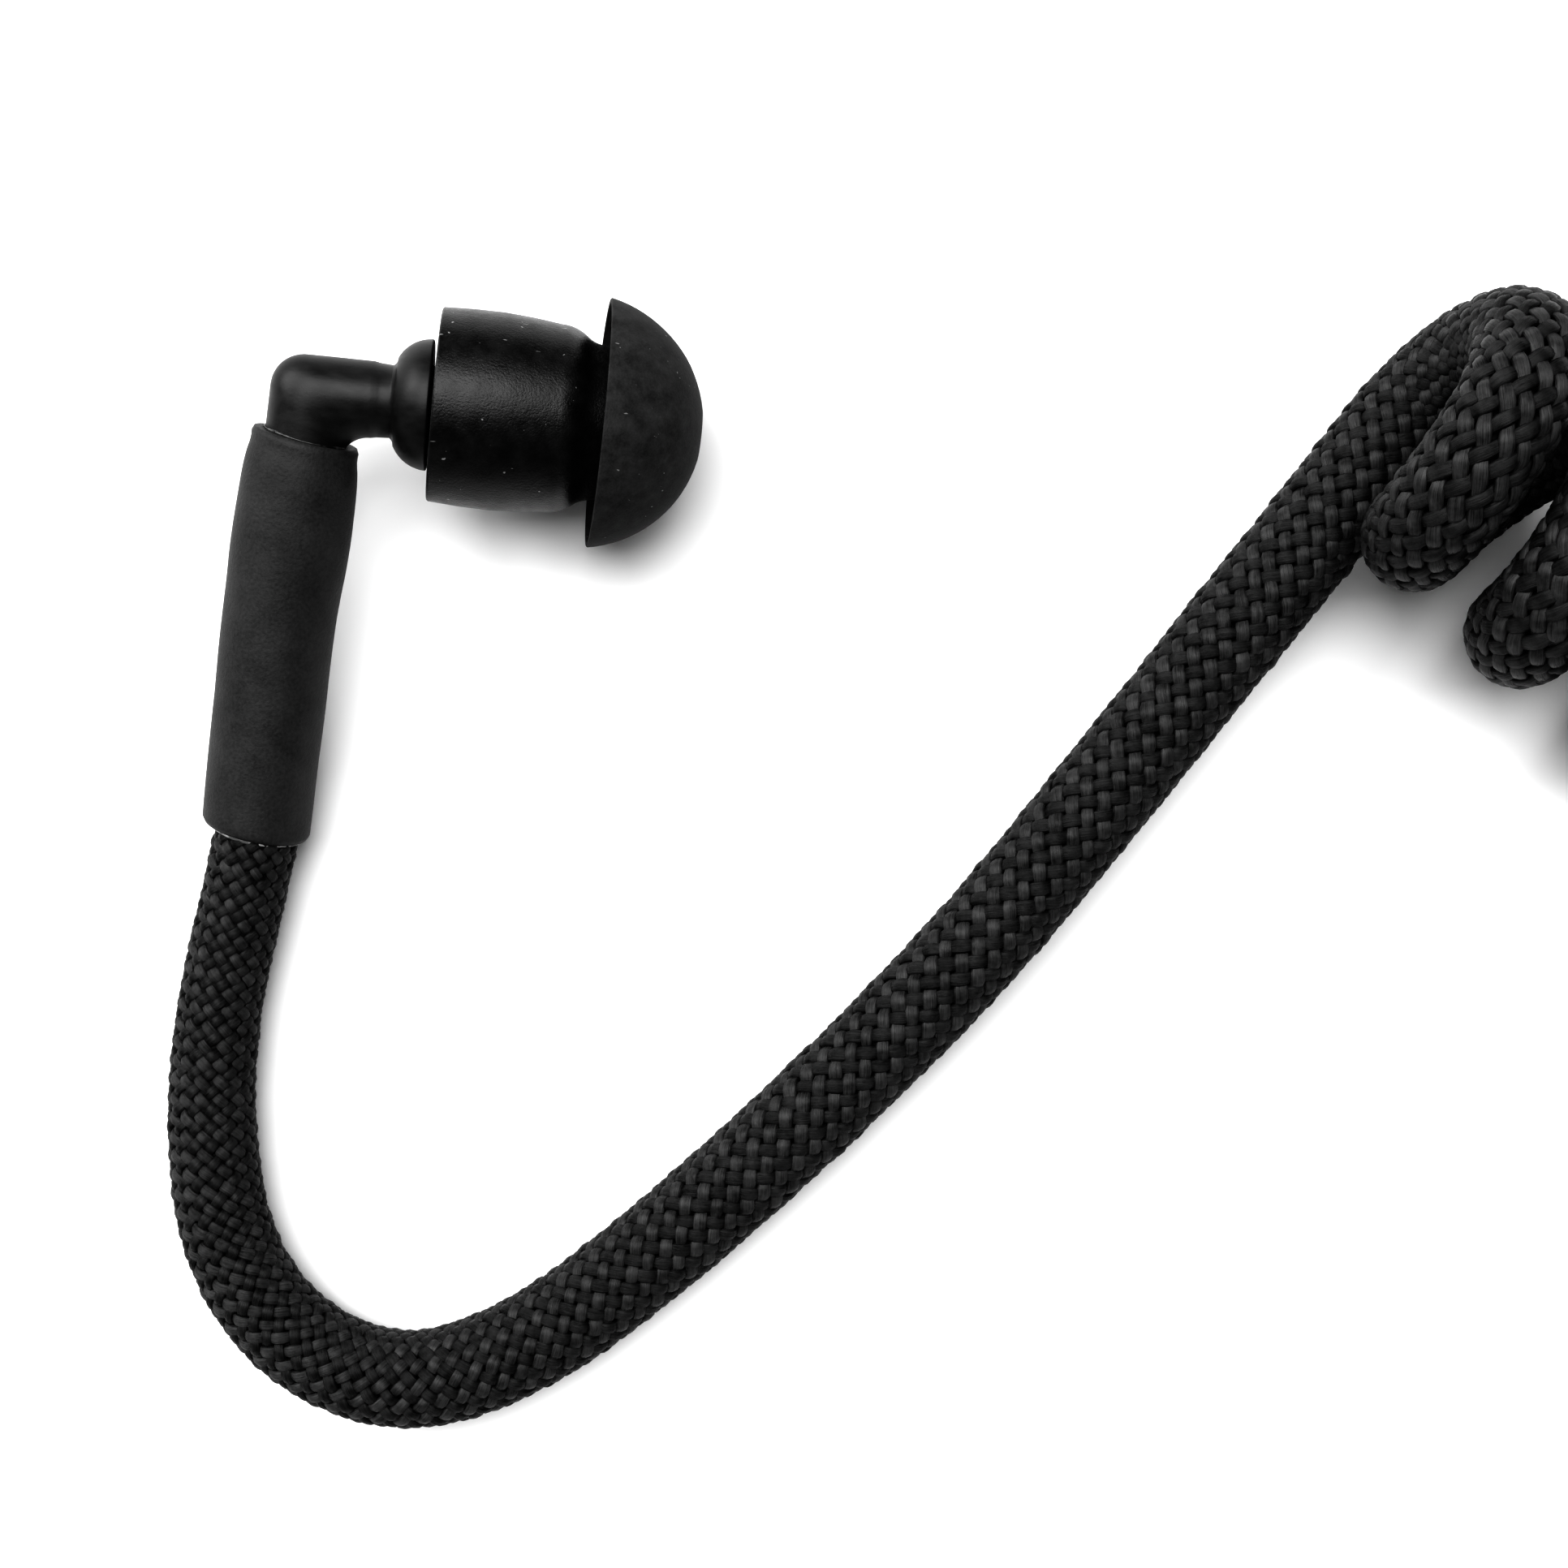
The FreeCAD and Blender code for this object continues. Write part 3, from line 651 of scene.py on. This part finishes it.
# --------------------------------------------------------------------------------------------------
# Braided tube
# --------------------------------------------------------------------------------------------------
YARNS_EACH_WAY = 14
YARNS_PER_PIECE = 4
RINGS_PER_CELL = 8
YARN_THICKNESS = 0.26
YARN_SWING = 0.12  # how far a yarn goes out over a crossing, and in under the next
YARN_STEP = 2 * math.pi / YARNS_EACH_WAY
YARN_FILL = 0.88  # how much of the yarns' spacing a yarn's width fills
# A yarn's section, in parts of its width and of its thickness
YARN_SECTION = [(-0.5, -0.3), (-0.34, 0.42), (0.0, 0.62), (0.34, 0.42), (0.5, -0.3)]
# Unevenness: two shifts in parts of the yarns' step, a lift in millimetres, two parts of the width
SHARED_SHIFT = 0.16
OWN_SHIFT = 0.06
OWN_LIFT = 0.03
WIDTH_AT_CROSSING = 0.07
OWN_WIDTH = 0.07
TUBE_RADIUS = 2.1
# Knots of (place along the cord, value): length of one cell of the weave, and the cord's radius
CELL_LENGTHS = [(0, 0.98), (30, 1.0), (48, 1.12), (65, 1.22), (115, 1.26), (150, 1.38), (400, 1.38)]
BRAID_RADII = [
    (0, 2.27),
    (12, 2.28),
    (22, 2.44),
    (33, 2.57),
    (48, 2.66),
    (72, 2.73),
    (92, 2.78),
    (125, 2.8),
    (250, 2.78),
    (275, 2.6),
    (400, 2.55),
]


def coil_points():
    """The coil's turns as control points: it enters at the bottom and climbs on the far side."""
    place = shift(*COIL_START) @ turn("Z", COIL_HEADING) @ turn("Y", COIL_DIP)
    points = []
    for index in range(COIL_TURNS * COIL_POINTS_PER_TURN + 1):
        angle = 2 * math.pi * index / COIL_POINTS_PER_TURN
        taken_up = COIL_LEAD_IN * (1 - math.exp(-angle / COIL_LEAD_IN))
        advance = COIL_PITCH / (2 * math.pi) * (angle - taken_up)
        across = COIL_RADIUS * math.sin(angle)
        up = -COIL_RADIUS * math.cos(angle)
        points.append(tuple(place @ Vector((advance, across, up))))
    return points


def route_curve(name):
    """The cord's centreline as one smooth open spline."""
    points = ROUTE + coil_points() + TAIL
    curve = bpy.data.curves.new(name, "CURVE")
    curve.dimensions = "3D"
    spline = curve.splines.new("NURBS")
    spline.points.add(len(points) - 1)
    for index, point in enumerate(points):
        spline.points[index].co = (*(value * MM for value in point), 1)
    spline.order_u = 3
    spline.use_endpoint_u = True
    spline.resolution_u = 12
    return bpy.data.objects.new(name, curve)


def route_line():
    """Points along the route's own smooth line, in millimetres."""
    thing = route_curve("route_line")
    bpy.context.scene.collection.objects.link(thing)
    mesh = bpy.data.meshes.new_from_object(thing)
    line = np.array([vertex.co for vertex in mesh.vertices]) / MM
    bpy.data.meshes.remove(mesh)
    bpy.data.objects.remove(thing)
    return line


def ring_places(length):
    """Places along the cord at even parts of its cells, and how many cells lie before each."""
    samples = 20000
    fine = np.linspace(0, length, samples)
    cells = np.concatenate([[0], np.cumsum(np.diff(fine) / smooth_table(fine[1:], CELL_LENGTHS))])
    before = np.arange(0, cells[-1], 1 / RINGS_PER_CELL)
    return np.interp(before, cells, fine), before


def smoothed(points):
    """Points with each one averaged with its neighbours, and the same two ends."""
    kernel = np.array([1, 2, 3, 2, 1]) / 9
    margin = len(kernel) // 2
    longer = np.concatenate([points[:1]] * margin + [points] + [points[-1:]] * margin)
    smooth = np.stack([np.convolve(longer[:, axis], kernel, "valid") for axis in range(3)], axis=1)
    smooth[0] = points[0]
    smooth[-1] = points[-1]
    return smooth


def unit_steps(points):
    """The direction of a line of points at each of them."""
    forward = np.gradient(points, axis=0)
    return forward / np.linalg.norm(forward, axis=1)[:, None]


def along_line(line):
    """Where the yarns' rings are: place along the cord, cells before it, centre, and two sides."""
    lengths = np.concatenate([[0], np.cumsum(np.linalg.norm(np.diff(line, axis=0), axis=1))])
    places, cells = ring_places(lengths[-1])
    centres = np.stack([np.interp(places, lengths, line[:, axis]) for axis in range(3)], axis=1)
    centres = smoothed(centres)
    forward = unit_steps(centres)
    side = np.cross(forward[0], (0, 0, 1))
    side /= np.linalg.norm(side)
    sides = [side]
    for index in range(1, len(places)):
        side = side - forward[index] * np.dot(side, forward[index])
        side /= np.linalg.norm(side)
        sides.append(side)
    sides = np.array(sides)
    return places, cells, centres, sides, np.cross(forward, sides)


def uneven(places, spacing, rng):
    """A random value about zero that drifts along the cord."""
    knots = np.arange(0, places[-1] + spacing, spacing)
    return np.interp(places, knots, rng.normal(0, 1, len(knots)))


def yarn_middle(index, way, rings, drift, rng):
    """A yarn's middle line, the way outwards, and its height: 1 over a crossing, -1 under one."""
    places, cells, centres, side, up = rings
    steepness = 1.4
    angle = YARN_STEP * (
        index + way * cells + SHARED_SHIFT * drift + OWN_SHIFT * uneven(places, 3.0, rng)
    )
    height = np.tanh(steepness * way * np.cos(2 * np.pi * cells)) / math.tanh(steepness)
    lift = YARN_SWING * height + OWN_LIFT * uneven(places, 1.6, rng)
    outwards = side * np.cos(angle)[:, None] + up * np.sin(angle)[:, None]
    radius = smooth_table(places, BRAID_RADII) - YARN_SWING - 0.6 * YARN_THICKNESS + lift
    return centres + outwards * radius[:, None], outwards, height


def yarn_points(index, way, rings, drift, rng):
    """One yarn's rings. It winds round the cord, over one yarn of the other way, under the next."""
    places = rings[0]
    middle, outwards, height = yarn_middle(index, way, rings, drift, rng)
    forward = unit_steps(middle)
    across = np.cross(forward, outwards)
    across /= np.linalg.norm(across, axis=1)[:, None]
    normal = np.cross(across, forward)
    around = YARN_STEP * smooth_table(places, BRAID_RADII)
    spacing = around / np.hypot(1, around / smooth_table(places, CELL_LENGTHS))
    filled = YARN_FILL + WIDTH_AT_CROSSING * height + OWN_WIDTH * uneven(places, 1.3, rng)
    width = spacing * filled
    sides = []
    for a, b in YARN_SECTION:
        sides.append(middle + across * (a * width)[:, None] + normal * (b * YARN_THICKNESS))
    points = np.stack(sides, axis=1)
    uv = np.empty(points.shape[:2] + (2,))
    uv[:, :, 0] = [a for a, b in YARN_SECTION]
    uv[:, :, 0] += rng.uniform(0, 50)
    uv[:, :, 1] = (places * 1.4)[:, None]
    return points.reshape(-1, 3), uv.reshape(-1, 2)


def yarn_group(name, indices, way, rings, drift, rng, material):
    """Some neighbouring yarns as one piece, each closed at its two ends."""
    count = len(YARN_SECTION)
    length = len(rings[0])
    points = []
    uvs = []
    faces = []
    for place, index in enumerate(indices):
        first = place * length * count
        last = first + (length - 1) * count
        yarn_sides, uv = yarn_points(index, way, rings, drift, rng)
        faces += ring_faces(length, count, first)
        faces.append(tuple(range(first, first + count))[::-1])
        faces.append(tuple(range(last, last + count)))
        points.append(yarn_sides)
        uvs.append(uv)
    points = np.concatenate(points) * MM
    return new_piece(name, points, faces, material, "tube_assembly", np.concatenate(uvs))


def braid(rings):
    """The braid's yarns, as lit and shaded copies of one yarn: the lighter grey of those that wind
    to the right is painted sheen, and the darker grey of those that wind to the left is painted
    shade.
    """
    # Painted shade and painted sheen: the same yarn gets a darker grey one way and a lighter grey
    # the other, for how the light catches each way
    left = yarn("braid_yarn_left_painted_shade", 0.002, 0.032)
    right = yarn("braid_yarn_right_painted_sheen", 0.008, 0.068)
    rng = np.random.default_rng(7)
    drift = uneven(rings[0], 9.0, rng)
    pieces = []
    for way, word, material in ((1, "left", left), (-1, "right", right)):
        for group, first in enumerate(range(0, YARNS_EACH_WAY, YARNS_PER_PIECE), start=1):
            indices = range(first, min(first + YARNS_PER_PIECE, YARNS_EACH_WAY))
            name = f"braid_{word}_{group}"
            pieces.append(yarn_group(name, indices, way, rings, drift, rng, material))
    return pieces


def sound_tube(material):
    """The tube behind the yarns, which is the cord's own line."""
    piece = route_curve("sound_tube")
    bpy.context.scene.collection.objects.link(piece)
    piece.data.bevel_depth = TUBE_RADIUS * MM
    piece.data.bevel_resolution = 6
    piece.data.use_fill_caps = True
    piece.data.materials.append(material)
    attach(piece, "tube_assembly")
    return piece


# --------------------------------------------------------------------------------------------------
# Surface, camera and light
# --------------------------------------------------------------------------------------------------
CAMERA_PLACE = (18.32, -9.35, 120.0)
CAMERA_TURN = 4.4  # degrees about the vertical
CAMERA_LENS = 49.72
CAMERA_SENSOR = 36
SURFACE_HALF = 550.0  # half of the surface's side
FILL_STRENGTH = 0.15
LIGHT_TARGET = (0.02, -0.01, 0)  # metres


def stage():
    """A flat white surface under the object."""
    half = SURFACE_HALF * MM
    corners = [(-half, -half, 0), (half, -half, 0), (half, half, 0), (-half, half, 0)]
    mesh = bpy.data.meshes.new("surface")
    mesh.from_pydata(corners, [], [(0, 1, 2, 3)])
    surface = bpy.data.objects.new("surface", mesh)
    bpy.context.scene.collection.objects.link(surface)
    mesh.materials.append(surface_white())


def camera():
    """The camera looks straight down."""
    data = bpy.data.cameras.new("camera")
    data.lens = CAMERA_LENS
    data.sensor_width = CAMERA_SENSOR
    data.clip_start = 0.001
    thing = bpy.data.objects.new("camera", data)
    thing.location = [value * MM for value in CAMERA_PLACE]
    thing.rotation_euler = (0, 0, math.radians(CAMERA_TURN))
    bpy.context.scene.collection.objects.link(thing)
    bpy.context.scene.camera = thing


def softbox(name, place, size, power):
    """A soft light aimed at the object. Place and size are in metres, and power is in watts."""
    light = bpy.data.lights.new(name, "AREA")
    light.shape = "RECTANGLE"
    light.size = size[0]
    light.size_y = size[1]
    light.energy = power
    thing = bpy.data.objects.new(name, light)
    thing.location = place
    direction = Vector(LIGHT_TARGET) - Vector(place)
    thing.rotation_euler = direction.to_track_quat("-Z", "Y").to_euler()
    bpy.context.scene.collection.objects.link(thing)


def lights():
    """Two softboxes and a weak even fill. Past the surface's edge the room is seen as white."""
    softbox("overhead", (-0.04, 0.32, 1.26), (1.14, 0.9), 16.5)
    softbox("upper_left", (-1.06, 0.62, 0.84), (0.84, 0.84), 13.0)
    world = bpy.data.worlds.new("room")
    world.use_nodes = True
    background = world.node_tree.nodes["Background"]
    background.inputs["Color"].default_value = (1, 1, 1, 1)
    rays = world.node_tree.nodes.new("ShaderNodeLightPath")
    strength = world.node_tree.nodes.new("ShaderNodeMapRange")
    strength.inputs["To Min"].default_value = FILL_STRENGTH
    strength.inputs["To Max"].default_value = 1.0
    world.node_tree.links.new(rays.outputs["Is Camera Ray"], strength.inputs["Value"])
    world.node_tree.links.new(strength.outputs["Result"], background.inputs["Strength"])
    bpy.context.scene.world = world
    bpy.context.scene.view_settings.view_transform = "Standard"
    bpy.context.scene.view_settings.look = "Very High Contrast"


# --------------------------------------------------------------------------------------------------
# The object
# --------------------------------------------------------------------------------------------------
def ear_sleeve(shrink, smoky_glue, milky_glue):
    """The sleeve over the elbow's arm and the tube's end, and the glue at its two ends."""
    cut = 0.25
    mouth_place = SHRINK_START - 0.02
    lower_place = SHRINK_END - 0.02
    sleeve = shrink_sleeve(
        "ear_shrink_skin",
        ARM_PLACE,
        SHRINK_START,
        SHRINK_END - 0.15,
        radius=EAR_SLEEVE_RADII,
        middle=EAR_SLEEVE_MIDDLE,
        bore=(2.1, 2.36),
        cut=(cut, cut),
        material=shrink,
        seed=1.0,
    )
    mouth = glue_bead("ear_glue_mouth", ARM_PLACE, mouth_place, 0.05, 2.06, cut, smoky_glue, 3)
    lower = glue_bead("ear_glue_end", ARM_PLACE, lower_place, 0.0, 2.48, cut, milky_glue, 16)
    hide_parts("ear_heat_shrink")
    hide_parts("ear_glue_liner")
    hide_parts("ear_glue_liner")


def plug_sleeve(shrink, smoky_glue, milky_glue):
    """The sleeve at the connector, and the glue at its two ends."""
    cut = (0.1, -0.12)
    back_place = PLUG_SHRINK_START - 0.04
    front_place = PLUG_SHRINK_END + 0.02
    sleeve = shrink_sleeve(
        "plug_shrink_skin",
        PLUG_PLACE,
        PLUG_SHRINK_START,
        PLUG_SHRINK_END,
        radius=PLUG_SLEEVE_RADII,
        middle=PLUG_SLEEVE_MIDDLE,
        bore=(2.4, 2.26),
        cut=cut,
        material=shrink,
        seed=5.0,
    )
    back = glue_bead("plug_glue_back", PLUG_PLACE, back_place, 0.0, 2.44, cut[0], milky_glue, 8)
    front = glue_bead("plug_glue_front", PLUG_PLACE, front_place, 0.0, 2.26, cut[1], smoky_glue, 9)
    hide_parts("plug_heat_shrink")
    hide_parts("plug_glue_liner")
    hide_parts("plug_glue_liner")
    return [sleeve, back, front]


def connector():
    """The connector's CAD parts keep their shape and get their materials."""
    finishes = {
        "connector_body": glossy_plastic("connector_plastic"),
        "face_seal": rubber(),
        "twist_collar": matte_plastic(),
    }
    parts = []
    for name, material in finishes.items():
        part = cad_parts[name]
        part.data.materials.clear()
        part.data.materials.append(material)
        parts.append(part)
    return parts


def build():
    stem = silicone("tip_silicone", 0.34, 0.002, 0.012, 0.35)
    dome = silicone("tip_silicone_dome", 0.66, 0.02, 0.06, 0.12)
    plastic = glossy_plastic()
    shrink = shrink_plastic()
    smoky_glue = hot_melt("hot_melt_smoky", 0.008, 0.09)
    milky_glue = hot_melt("hot_melt_milky", 0.12, 0.6)

    ear_tip(stem, dome)
    elbow(plastic)
    ear_sleeve(shrink, smoky_glue, milky_glue)
    plug_end = plug_sleeve(shrink, smoky_glue, milky_glue)

    rings = along_line(route_line())
    tube = sound_tube(tube_plastic())
    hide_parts("sound_tube_run", "sound_tube_tail")
    yarns = braid(rings)
    for piece in yarns:
        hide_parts("braid_run", "braid_tail", "coil")
    connector()


build()
stage()
camera()
lights()
